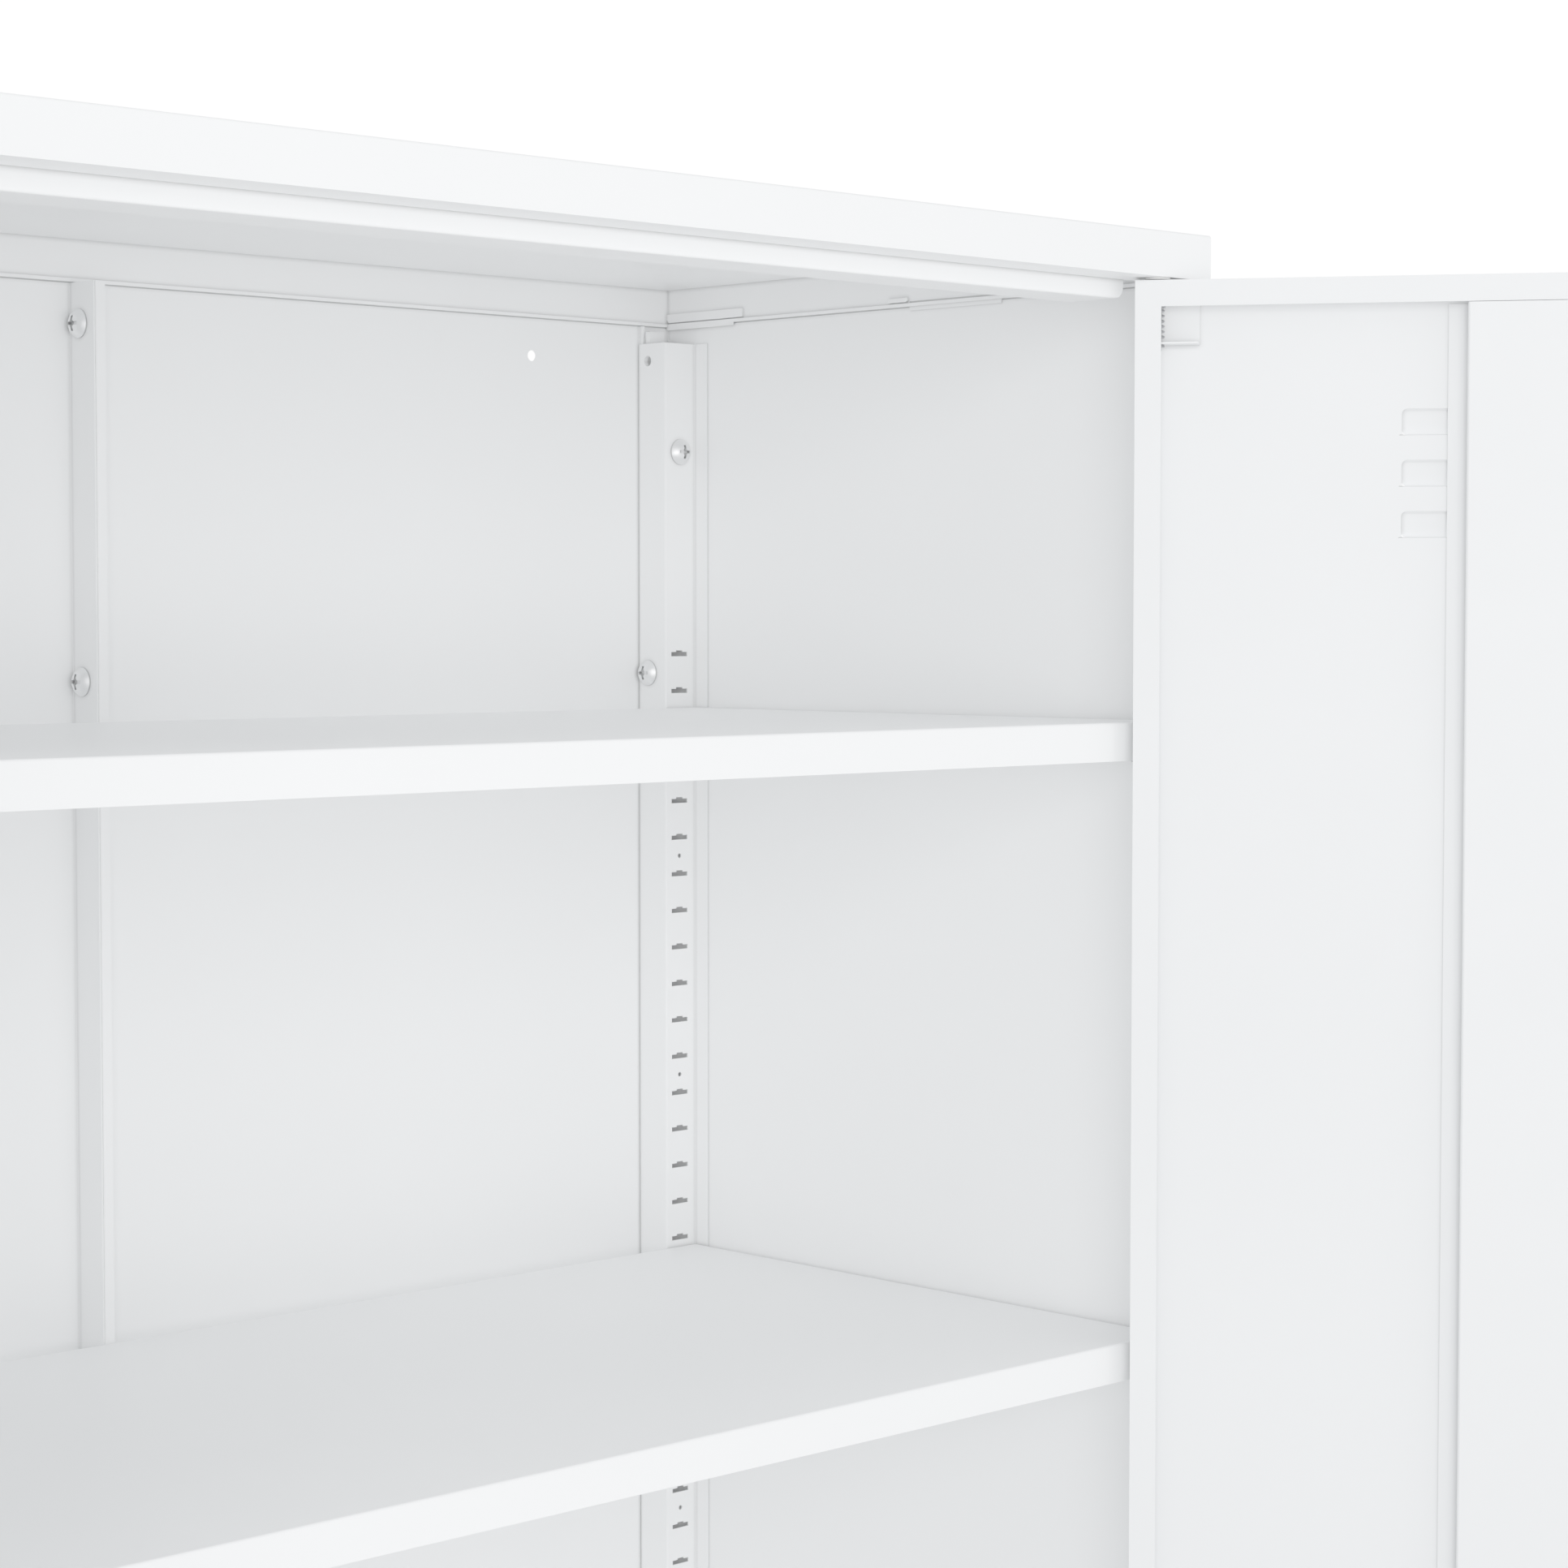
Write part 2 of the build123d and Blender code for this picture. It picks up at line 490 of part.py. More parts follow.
# ---- levelling feet, their plates and lock nuts ----
FOOT_IN = 42.0
FOOT_FRONT_IN = 50.0
FOOT_R = 5.0
feet = {
    "front_right": (HALF - FOOT_IN, FRONT + FOOT_FRONT_IN),
    "front_left": (-HALF + FOOT_IN, FRONT + FOOT_FRONT_IN),
    "rear_right": (HALF - FOOT_IN, BACK - FOOT_IN),
    "rear_left": (-HALF + FOOT_IN, BACK - FOOT_IN),
}
with BuildPart() as foot_plates:
    for x, y in feet.values():
        edge_x = math.copysign(HALF - SHEET, x)
        edge_y = FRONT + SHEET if y < FRONT + DEPTH / 2 else BACK - SHEET
        inner_x = x - math.copysign(24.0, x)
        inner_y = y + math.copysign(24.0, y - edge_y)
        slab((inner_x, edge_x), (edge_y, inner_y), (15.0, 18.0))
        slab((edge_x - math.copysign(2.0, x), edge_x), (edge_y, inner_y), (15.0, 40.0))
        with Locations((x, y, 17)):
            Cylinder(FOOT_R + 0.05, 10, mode=Mode.SUBTRACT)
save(foot_plates.part, "foot_plates")

with BuildPart() as foot_lock_nuts:
    for x, y in feet.values():
        nut = hex_nut(6.0, 17.0, FOOT_R + 0.05)
        add(Location((x, y, 24.0)) * nut)
save(foot_lock_nuts.part, "foot_lock_nuts")

for place, (x, y) in feet.items():
    with BuildPart() as foot:
        with Locations((x, y, 2.0)):
            Cylinder(17.0, 4.0)
        with Locations((x, y, 4.0)):
            Cone(17.0, 8.0, 5.0, align=(Align.CENTER, Align.CENTER, Align.MIN))
        with Locations((x, y, 6.0)):
            Cylinder(FOOT_R, 50.0, align=(Align.CENTER, Align.CENTER, Align.MIN))
        slab((x - 4, x + 4), (y - 0.8, y + 0.8), (54.0, 57.0), Mode.SUBTRACT)
        fillet(foot.faces().sort_by(Axis.Z)[0].edges(), 1.0)
    save(foot.part, "foot_" + place)

# ---- hinge bushes in the cap and the base ----
TOP_PIN_R = 2.25
LOW_PIN_R = 3.0
with BuildPart() as pivot_bushes:
    for side in (-1, 1):
        with Locations((side * PIN_X, FRONT + PIN_DEPTH, HEIGHT - CAP_FOLD)):
            Cylinder(5.0, 7.0, align=(Align.CENTER, Align.CENTER, Align.MIN))
            Cylinder(7.0, 1.0, align=(Align.CENTER, Align.CENTER, Align.MAX))
            Cylinder(TOP_PIN_R + 0.05, 20, mode=Mode.SUBTRACT)
        with Locations((side * PIN_X, FRONT + PIN_DEPTH, BASE_RAIL)):
            Cylinder(6.0, 9.0, align=(Align.CENTER, Align.CENTER, Align.MAX))
            Cylinder(8.5, 1.3, align=(Align.CENTER, Align.CENTER, Align.MIN))
            Cylinder(LOW_PIN_R + 0.05, 30, mode=Mode.SUBTRACT)
save(pivot_bushes.part, "pivot_bushes")


# ---- doors: s runs from the hinge axis to the free edge, w outward ----
def door_plane(side):
    way = (side * math.cos(SWING), -math.sin(SWING), 0)
    return Plane((side * PIN_X, FRONT + PIN_DEPTH, 0), x_dir=way, z_dir=(0, 0, 1))


def outward(side):
    return (side * math.sin(SWING), math.cos(SWING), 0)


def door_point(side, s, w, z):
    plane = door_plane(side)
    return plane.from_local_coords((s, side * w, z))


HAT_FROM = 160.0
HAT_TO = 246.5
HAT_FOOT = 10.6
LOUVRE_S = 134.1
LOUVRE_LONG = 138.2
LOUVRE_TALL = 15.2
LOUVRE_PITCH = 28.4
LOUVRE_FIRST = 71.3
LOUVRE_OUT = 4.2
LOUVRE_TOPS = [DOOR_TOP - LOUVRE_FIRST - i * LOUVRE_PITCH for i in range(3)]
LOUVRE_TOPS += [DOOR_LOW + LOUVRE_FIRST + LOUVRE_TALL + i * LOUVRE_PITCH for i in range(3)]
HANDLE_S = 372.0
HANDLE_Z = 1000.0
BOLT_S = PIN_X + BOLT_X
BRACKET_S = 23.0
BRACKET_TALL = 35.4
BRACKET = 1.0
COLLAR_DOWN = 15.0  # spring collar under the door's top


def wedge(side, s0, s1, points, corner, tall_from, tall_to):
    """A prism along s with its upper corners rounded as seen from the front."""
    plane = Plane(door_point(side, s0, 0, 0), x_dir=outward(side), z_dir=[
        side * c for c in (side * math.cos(SWING), -math.sin(SWING), 0)])
    with BuildSketch(plane) as section:
        with BuildLine():
            Polyline(*points, close=True)
        make_face()
    front = Plane(door_point(side, 0, 0, 0), x_dir=(side * math.cos(SWING), -math.sin(SWING), 0),
                  z_dir=[-side * c for c in outward(side)])
    with BuildSketch(front) as outline:
        with Locations(((s0 + s1) / 2, (tall_from + tall_to) / 2)):
            Rectangle(s1 - s0, abs(tall_to - tall_from))
        fillet(outline.vertices().group_by(Axis.Z)[-1], corner)
    with BuildPart() as prism:
        extrude(section.sketch, amount=s1 - s0, dir=(side * math.cos(SWING), -math.sin(SWING), 0))
        extrude(outline.sketch, amount=40, dir=outward(side), both=True, mode=Mode.INTERSECT)
    return prism.part


for side, word in ((1, "right"), (-1, "left")):
    inner = door_plane(side)
    with BuildPart(inner) as door_pan:
        slab((-HINGE_EDGE, FREE_EDGE), (-DOOR_HALF, DOOR_HALF), (DOOR_LOW, DOOR_TOP))
        skin_face = door_pan.faces().sort_by(Axis(inner.origin, outward(side)))[-1]
        fillet(skin_face.edges(), 1.4)
        w = (-side * (DOOR_HALF - SHEET), side * (DOOR_HALF - SHEET))
        slab((-HINGE_EDGE + SHEET, FREE_EDGE - SHEET), w, (DOOR_LOW + SHEET, DOOR_TOP - SHEET), Mode.SUBTRACT)
        w = (-side * (DOOR_HALF + 1), -side * (DOOR_HALF - 2))
        slab((-HINGE_EDGE + LIP, FREE_EDGE - LIP), w, (DOOR_LOW + LIP, DOOR_TOP - LIP), Mode.SUBTRACT)
        with Locations((0, 0, DOOR_TOP)):
            Cylinder(TOP_PIN_R + 0.5, 8, mode=Mode.SUBTRACT)
        with Locations((0, 0, DOOR_LOW)):
            Cylinder(LOW_PIN_R + 0.2, 8, mode=Mode.SUBTRACT)
        if side > 0:
            with Locations(Location((HANDLE_S, side * DOOR_HALF, HANDLE_Z), (90, 0, 0))):
                Cylinder(9.0, 6, mode=Mode.SUBTRACT)
        else:
            with Locations((BOLT_S, 0, DOOR_LOW)):
                Cylinder(4.4, 6, mode=Mode.SUBTRACT)
    with BuildPart() as door_panel:
        add(door_pan.part)
        for top in LOUVRE_TOPS:
            low = top - LOUVRE_TALL
            face = DOOR_HALF
            shell = [(face - SHEET, top), (face, top), (face + 2.0, top - 1.8),
                     (face + LOUVRE_OUT, low), (face - SHEET, low)]
            add(wedge(side, LOUVRE_S, LOUVRE_S + LOUVRE_LONG, shell, 4.0, low, top))
            hollow = [(face - SHEET - 2, top - 0.8), (face - SHEET + 0.3, top - 0.8),
                      (face + 1.2, top - 2.2), (face + LOUVRE_OUT - SHEET, low),
                      (face + LOUVRE_OUT - SHEET, low - 1), (face, low - 1),
                      (face, low), (face - SHEET - 2, low)]
            add(wedge(side, LOUVRE_S + 0.8, LOUVRE_S + LOUVRE_LONG - 0.8, hollow, 3.2, low - 1, top - 0.8),
                mode=Mode.SUBTRACT)
            crease = [(face - SHEET - 1, low), (face - SHEET + 0.55, low),
                      (face - SHEET + 0.55, low - 0.45), (face - SHEET - 1, low - 0.45)]
            add(wedge(side, LOUVRE_S - 0.5, LOUVRE_S + LOUVRE_LONG + 0.5, crease, 0.1, low - 0.45, low),
                mode=Mode.SUBTRACT)
    save(door_panel.part, "door_panel_" + word)

    hat_path = [
        (HAT_FROM, DOOR_HALF - SHEET),
        (HAT_FROM + HAT_FOOT + SHEET, DOOR_HALF - SHEET),
        (HAT_FROM + HAT_FOOT + SHEET, -DOOR_HALF + SHEET),
        (HAT_TO - HAT_FOOT - SHEET, -DOOR_HALF + SHEET),
        (HAT_TO - HAT_FOOT - SHEET, DOOR_HALF - SHEET),
        (HAT_TO, DOOR_HALF - SHEET),
    ]
    mirrored = [(s, side * across) for s, across in hat_path]
    hat_section = fold(mirrored, inner.offset(DOOR_LOW + LIP + 0.4), left=side < 0)
    with BuildPart() as door_stiffener:
        extrude(hat_section, amount=DOOR_TOP - DOOR_LOW - 2 * LIP - 0.8, dir=(0, 0, 1))
    save(door_stiffener.part, "door_stiffener_" + word)

    with BuildPart(inner) as hinge_brackets:
        for wall, way, hole in ((DOOR_TOP, -1, TOP_PIN_R + 0.05), (DOOR_LOW, 1, LOW_PIN_R)):
            a = wall + way * SHEET
            b = wall + way * BRACKET_TALL
            s_span = (-HINGE_EDGE + SHEET + 0.1, BRACKET_S)
            w_span = (side * -7.0, side * (DOOR_HALF - SHEET))
            skin = (side * (DOOR_HALF - SHEET - BRACKET), side * (DOOR_HALF - SHEET))
            slab(s_span, skin, (min(a, b), max(a, b)))
            slab(s_span, w_span, (min(a, a + way * BRACKET), max(a, a + way * BRACKET)))
            slab(s_span, w_span, (min(b, b - way * BRACKET), max(b, b - way * BRACKET)))
            with Locations((0, 0, wall + way * 20)):
                Cylinder(hole, 60, mode=Mode.SUBTRACT)
        corners = hinge_brackets.edges().filter_by(Axis.Z).sort_by(Axis(inner.origin, inner.x_dir))[-8:]
        free = [e for e in corners if side * inner.to_local_coords(e.center()).Y < -6.5]
        fillet(free, 2.5)
    save(hinge_brackets.part, "hinge_brackets_" + word)

    # spring-loaded pin, with a collar over the spring and a snap ring under the bracket
    with BuildPart(inner) as top_pin:
        with Locations((0, 0, DOOR_TOP - BRACKET_TALL - 3.8)):
            Cylinder(TOP_PIN_R, BRACKET_TALL + 3.8 + 7.4, align=(Align.CENTER, Align.CENTER, Align.MIN))
        with Locations((0, 0, DOOR_TOP - COLLAR_DOWN)):
            Cylinder(4.2, 1.2, align=(Align.CENTER, Align.CENTER, Align.MIN))
        with Locations((0, 0, DOOR_TOP - BRACKET_TALL - 1.4)):
            Cylinder(3.8, 1.1, align=(Align.CENTER, Align.CENTER, Align.MIN))
        chamfer(top_pin.faces().sort_by(Axis.Z)[-1].edges(), 0.6)
        chamfer(top_pin.faces().sort_by(Axis.Z)[0].edges(), 0.4)
    save(top_pin.part, "top_pin_" + word)

    WIRE = 0.7
    coil_low = DOOR_TOP - BRACKET_TALL + BRACKET + WIRE + 0.1
    coil_tall = BRACKET_TALL - BRACKET - COLLAR_DOWN - 2 * WIRE - 0.2
    with BuildPart() as pin_spring:
        start = Location((side * PIN_X, FRONT + PIN_DEPTH, coil_low))
        coil = start * Helix(pitch=2.9, height=coil_tall, radius=3.25)
        across = Plane(coil @ 0, z_dir=coil % 0)
        with BuildSketch(across) as wire:
            Circle(WIRE)
        sweep(wire.sketch, path=coil)
    save(pin_spring.part, "pin_spring_" + word)

    with BuildPart(inner) as bottom_pin:
        with Locations((0, 0, DOOR_LOW - 9.0)):
            Cylinder(LOW_PIN_R, BRACKET_TALL + 11.3, align=(Align.CENTER, Align.CENTER, Align.MIN))
        with Locations((0, 0, DOOR_LOW + BRACKET_TALL)):
            Cylinder(4.6, 1.5, align=(Align.CENTER, Align.CENTER, Align.MIN))
        chamfer(bottom_pin.faces().sort_by(Axis.Z)[0].edges(), 0.6)
    save(bottom_pin.part, "bottom_pin_" + word)

    with BuildPart(inner) as magnet_catch:
        slab((352, 398), (-side * DOOR_HALF, -side * (DOOR_HALF + 11.3)), (DOOR_TOP - 12.5, DOOR_TOP - 2.5))
        slab((346, 404), (-side * DOOR_HALF, -side * (DOOR_HALF + 1.6)), (DOOR_TOP - 12.5, DOOR_TOP - 2.5))
        for s in (362, 388):
            slab((s - 3, s + 3), (-side * (DOOR_HALF + 10.8), -side * (DOOR_HALF + 12)),
                 (DOOR_TOP - 13, DOOR_TOP - 2), Mode.SUBTRACT)
    save(magnet_catch.part, "magnet_catch_" + word)

    with BuildPart(inner) as door_bumper:
        with Locations(Location((350, -side * DOOR_HALF, DOOR_LOW + 5.0), (side * 90, 0, 0))):
            Cylinder(6.0, 2.0, align=(Align.CENTER, Align.CENTER, Align.MIN))
            Cylinder(4.0, 11.4, align=(Align.CENTER, Align.CENTER, Align.MIN))
    save(door_bumper.part, "door_bumper_" + word)

# ---- left door: meeting strip and bolt ----
left = door_plane(-1)
with BuildPart(left) as meeting_strip:
    slab((FREE_EDGE - 11.0, FREE_EDGE + STRIP_REACH), (DOOR_HALF + 0.3, DOOR_HALF + 1.1), (80.0, 1780.0))
    slab((FREE_EDGE - 11.0, FREE_EDGE - 1.0), (DOOR_HALF, DOOR_HALF + 0.4), (80.0, 1780.0))
save(meeting_strip.part, "meeting_strip")

BOLT_R = 4.0
with BuildPart(left) as bolt_plate:
    slab((BOLT_S - 8, BOLT_S + 8), (-DOOR_HALF + SHEET, -DOOR_HALF + SHEET + 1.5), (100, 180))
    for z in (100.0, 177.0):
        slab((BOLT_S - 8, BOLT_S + 8), (-DOOR_HALF + SHEET, 7.0), (z, z + 3))
    with Locations((BOLT_S, 0, 140)):
        Cylinder(BOLT_R + 0.1, 120, mode=Mode.SUBTRACT)
save(bolt_plate.part, "bolt_plate")

with BuildPart(left) as slide_bolt:
    with Locations((BOLT_S, 0, DOOR_LOW + 0.6)):
        Cylinder(BOLT_R, 125.0, align=(Align.CENTER, Align.CENTER, Align.MIN))
    with Locations(Location((BOLT_S, 2.0, 150.0), (-90, 0, 0))):
        Cylinder(2.5, 9.0, align=(Align.CENTER, Align.CENTER, Align.MIN))
    with Locations(Location((BOLT_S, 9.0, 150.0), (-90, 0, 0))):
        Cylinder(6.0, 7.0, align=(Align.CENTER, Align.CENTER, Align.MIN))
    chamfer(slide_bolt.faces().sort_by(Axis.Z)[0].edges(), 1.0)
save(slide_bolt.part, "slide_bolt")

# ---- right door: turn handle with its lock and cam ----
right = door_plane(1)
OUT = DOOR_HALF


def axial(r, w0, w1, mode=Mode.ADD):
    """A round along the handle's axis, from w0 out to w1."""
    with Locations(Location((HANDLE_S, (w0 + w1) / 2, HANDLE_Z), (90, 0, 0))):
        Cylinder(r, abs(w1 - w0), mode=mode)


with BuildPart(right) as handle_plate:
    slab((HANDLE_S - 17, HANDLE_S + 17), (OUT, OUT + 3.0), (HANDLE_Z - 75, HANDLE_Z + 35))
    fillet(handle_plate.edges().filter_by(Axis(right.origin, outward(1))), 12.0)
    fillet(handle_plate.faces().sort_by(Axis(right.origin, outward(1)))[-1].edges(), 1.2)
    axial(9.0, -1.0, OUT + 1.0)
    axial(6.1, -5.0, OUT + 10.0, Mode.SUBTRACT)
save(handle_plate.part, "handle_plate")

with BuildPart(right) as sleeve_nut:
    with BuildSketch(Plane(door_point(1, HANDLE_S, 0.5, HANDLE_Z), x_dir=right.x_dir, z_dir=outward(1))):
        RegularPolygon(13.0, 6, major_radius=False)
        Circle(9.0, mode=Mode.SUBTRACT)
    extrude(amount=DOOR_HALF - SHEET - 0.5, dir=outward(1))
save(sleeve_nut.part, "sleeve_nut")

with BuildPart(right) as turn_handle:
    axial(15.0, OUT + 3.4, OUT + 17.0)
    slab((HANDLE_S - 7.5, HANDLE_S + 7.5), (OUT + 14.0, OUT + 25.0), (HANDLE_Z - 82, HANDLE_Z - 4))
    slab((HANDLE_S - 7.5, HANDLE_S + 7.5), (OUT + 9.0, OUT + 17.0), (HANDLE_Z - 20, HANDLE_Z))
    grip = turn_handle.edges().filter_by(Axis(right.origin, outward(1))).group_by(Axis.Z)[0]
    fillet(grip, 6.0)
    axial(6.0, -9.6, OUT + 5.0)
    slab((HANDLE_S - 3.5, HANDLE_S + 3.5), (-15.2, -9.4), (HANDLE_Z - 3.5, HANDLE_Z + 3.5))
    axial(6.3, OUT + 6.0, OUT + 40.0, Mode.SUBTRACT)
save(turn_handle.part, "turn_handle")

with BuildPart(right) as lock_barrel:
    axial(6.2, OUT + 6.3, OUT + 18.2)
    slab((HANDLE_S - 0.6, HANDLE_S + 0.6), (OUT + 12.0, OUT + 19.0), (HANDLE_Z - 3.6, HANDLE_Z + 3.6),
         Mode.SUBTRACT)
save(lock_barrel.part, "lock_barrel")

CAM_LONG = 44.5
with BuildPart(right) as latch_cam:
    axial(9.5, -12.0, -9.6)
    slab((HANDLE_S - 8.0, HANDLE_S + 8.0), (-12.0, -9.6), (HANDLE_Z, HANDLE_Z + CAM_LONG))
    slab((HANDLE_S - 3.5, HANDLE_S + 3.5), (-13.0, -9.0), (HANDLE_Z - 3.5, HANDLE_Z + 3.5), Mode.SUBTRACT)
save(latch_cam.part, "latch_cam")

with BuildPart(right) as cam_nut:
    axial(7.0, -15.2, -12.0)
    slab((HANDLE_S - 3.5, HANDLE_S + 3.5), (-16.0, -11.0), (HANDLE_Z - 3.5, HANDLE_Z + 3.5), Mode.SUBTRACT)
save(cam_nut.part, "cam_nut")
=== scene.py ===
"""Looks for the steel locker cabinet: powder coat, plated fittings, studio and camera."""
import json
import math

import bpy
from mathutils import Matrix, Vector


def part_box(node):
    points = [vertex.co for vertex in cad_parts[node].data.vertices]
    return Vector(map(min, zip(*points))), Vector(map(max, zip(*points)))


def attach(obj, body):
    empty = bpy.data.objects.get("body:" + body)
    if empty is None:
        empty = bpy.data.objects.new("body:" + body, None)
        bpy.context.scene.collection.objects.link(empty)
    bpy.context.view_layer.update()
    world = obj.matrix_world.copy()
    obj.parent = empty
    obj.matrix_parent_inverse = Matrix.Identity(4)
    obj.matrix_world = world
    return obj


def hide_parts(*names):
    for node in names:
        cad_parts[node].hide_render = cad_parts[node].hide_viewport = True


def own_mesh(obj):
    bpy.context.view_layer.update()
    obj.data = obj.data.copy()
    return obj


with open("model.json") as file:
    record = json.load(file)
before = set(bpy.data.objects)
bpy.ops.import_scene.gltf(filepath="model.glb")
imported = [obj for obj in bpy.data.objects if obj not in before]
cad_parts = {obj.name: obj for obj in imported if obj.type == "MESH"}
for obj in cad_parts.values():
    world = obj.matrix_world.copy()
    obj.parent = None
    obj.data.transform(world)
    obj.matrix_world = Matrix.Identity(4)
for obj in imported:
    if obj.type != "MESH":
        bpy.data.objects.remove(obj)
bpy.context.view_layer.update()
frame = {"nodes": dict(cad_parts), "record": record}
nodes = frame["nodes"]

# ---- the carcass, read from the frame ----
CAP_LOW, CAP_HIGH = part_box("top_cap")
FRONT = CAP_LOW[1]
TOP = CAP_HIGH[2]

# ---- light and exposure ----
AMBIENT = 0.78
BACKDROP = 1.02  # what the camera sees behind everything, after exposure
EXPOSURE = -0.9
GAMMA = 2.3


# ---- materials ----
def shader(name):
    """A new material with its Principled shader and node tools."""
    mat = bpy.data.materials.new(name)
    mat.use_nodes = True
    tree = mat.node_tree
    return mat, tree, tree.nodes["Principled BSDF"]


def noise(tree, scale, detail=3.0, rough=0.5, stretch=(1, 1, 1)):
    """Noise over object space, so that it is the same on every piece and in every view."""
    coords = tree.nodes.new("ShaderNodeTexCoord")
    mapping = tree.nodes.new("ShaderNodeMapping")
    mapping.inputs["Scale"].default_value = stretch
    tex = tree.nodes.new("ShaderNodeTexNoise")
    tex.inputs["Scale"].default_value = scale
    tex.inputs["Detail"].default_value = detail
    tex.inputs["Roughness"].default_value = rough
    tree.links.new(coords.outputs["Object"], mapping.inputs["Vector"])
    tree.links.new(mapping.outputs["Vector"], tex.inputs["Vector"])
    return tex.outputs["Fac"]


def ramp(tree, value, low, high, low_at=0.3, high_at=0.7):
    """A value or colour that runs from low to high over part of the input's range."""
    node = tree.nodes.new("ShaderNodeValToRGB")
    for element, tone, at in zip(node.color_ramp.elements, (low, high), (low_at, high_at)):
        element.color = (tone, tone, tone, 1) if isinstance(tone, float) else (*tone, 1)
        element.position = at
    tree.links.new(value, node.inputs["Fac"])
    return node.outputs["Color"]


def bump(tree, bsdf, height, strength, distance):
    """Small relief on the shader's normal."""
    node = tree.nodes.new("ShaderNodeBump")
    node.inputs["Strength"].default_value = strength
    node.inputs["Distance"].default_value = distance
    tree.links.new(height, node.inputs["Height"])
    tree.links.new(node.outputs["Normal"], bsdf.inputs["Normal"])


def painted_shade(tree, colour, reach, depth, fold_shade):
    """The colour with painted shade from ambient occlusion: darkened to depth in gaps narrower than
    reach and to fold_shade in open corners.
    """
    near = tree.nodes.new("ShaderNodeAmbientOcclusion")
    near.inputs["Distance"].default_value = reach
    near.samples = 2
    shade = tree.nodes.new("ShaderNodeValToRGB")
    shade.color_ramp.elements.new(0.5)
    for element, tone, at in zip(shade.color_ramp.elements, (depth, fold_shade, 1.0), (0.2, 0.5, 0.88)):
        element.color = (tone, tone, tone, 1)
        element.position = at
    tree.links.new(near.outputs["AO"], shade.inputs["Fac"])
    mix = tree.nodes.new("ShaderNodeMix")
    mix.data_type = "RGBA"
    mix.blend_type = "MULTIPLY"
    mix.inputs["Factor"].default_value = 1.0
    tree.links.new(colour, mix.inputs["A"])
    tree.links.new(shade.outputs["Color"], mix.inputs["B"])
    return mix.outputs["Result"]


def powder_coat(name, light, dark, rough=(0.36, 0.44)):
    """White powder coat: a fine orange peel and a faint mottle in tone and gloss."""
    mat, tree, bsdf = shader(name)
    broad = noise(tree, scale=3.0, detail=2.0)
    peel = noise(tree, scale=900.0, detail=2.0, rough=0.4)
    # painted shade: the coat's colour is darkened by ambient occlusion in gaps and open corners
    coat = painted_shade(tree, ramp(tree, broad, dark, light), reach=0.0030, depth=0.015, fold_shade=0.70)
    tree.links.new(coat, bsdf.inputs["Base Color"])
    tree.links.new(ramp(tree, noise(tree, scale=14.0), *rough), bsdf.inputs["Roughness"])
    bsdf.inputs["Specular IOR Level"].default_value = 0.45
    bump(tree, bsdf, peel, strength=0.10, distance=0.00012)
    return mat


def plated(name, light, dark, rough, stretch=(1, 1, 1), scale=260.0):
    """Bright or zinc plate: a metal with fine drawn lines and small stains."""
    mat, tree, bsdf = shader(name)
    lines = noise(tree, scale, detail=4.0, rough=0.6, stretch=stretch)
    stains = ramp(tree, noise(tree, scale=60.0), dark, light)
    # the stains are the metal's own; the darkening in recesses and where it meets the panels is painted
    # shade
    stains_and_painted_shade = painted_shade(tree, stains, reach=0.0020, depth=0.01, fold_shade=0.30)
    tree.links.new(stains_and_painted_shade, bsdf.inputs["Base Color"])
    tree.links.new(ramp(tree, lines, *rough), bsdf.inputs["Roughness"])
    bsdf.inputs["Metallic"].default_value = 1.0
    bump(tree, bsdf, lines, strength=0.12, distance=0.00008)
    return mat


def moulded(name, light, dark, rough, grain=1400.0, depth=0.00005):
    """Moulded plastic or rubber with a spark-eroded grain."""
    mat, tree, bsdf = shader(name)
    tree.links.new(ramp(tree, noise(tree, scale=40.0), dark, light), bsdf.inputs["Base Color"])
    tree.links.new(ramp(tree, noise(tree, scale=120.0), *rough), bsdf.inputs["Roughness"])
    bump(tree, bsdf, noise(tree, grain), strength=0.3, distance=depth)
    return mat


# ---- finishes, by the record's material slots ----
PAINT = powder_coat("white_powder_coat", (0.960, 0.972, 0.980), (0.952, 0.964, 0.972))
# painted shade: the doors carry the same white paint as the carcass, made darker so they take less of
# the lamps' light
DOOR_PAINT_SHADED = powder_coat("white_powder_coat_doors_shaded", (0.840, 0.856, 0.870), (0.828, 0.844, 0.858))
SCREW = plated("nickel_plate", (0.90, 0.905, 0.91), (0.82, 0.825, 0.83), (0.42, 0.52))
ZINC = plated("zinc_plate", (0.34, 0.345, 0.355), (0.22, 0.225, 0.235), (0.30, 0.46))
HANDLE = plated("satin_nickel", (0.250, 0.252, 0.255), (0.200, 0.202, 0.206), (0.26, 0.36), (1, 1, 8))
PLASTIC = moulded("white_plastic", (0.80, 0.80, 0.79), (0.77, 0.77, 0.76), (0.42, 0.5))
RUBBER = moulded("grey_rubber", (0.035, 0.035, 0.038), (0.024, 0.024, 0.026), (0.6, 0.72))
SLOTS = {
    "white_paint": PAINT,
    "screw_steel": SCREW,
    "zinc_steel": ZINC,
    "handle_metal": HANDLE,
    "white_plastic": PLASTIC,
    "nylon": PLASTIC,
    "grey_rubber": RUBBER,
}
for entry in frame["record"]["subparts"]:
    mesh = nodes[entry["node"]].data
    finish = SLOTS[entry["material_slot"]]
    # doors, hinge brackets and meeting strip take the darker copy of the paint, which is painted shade
    if finish is PAINT and entry["node"].startswith(("door_", "hinge_brackets", "meeting_strip")):
        finish = DOOR_PAINT_SHADED
    mesh.materials.clear()
    mesh.materials.append(finish)


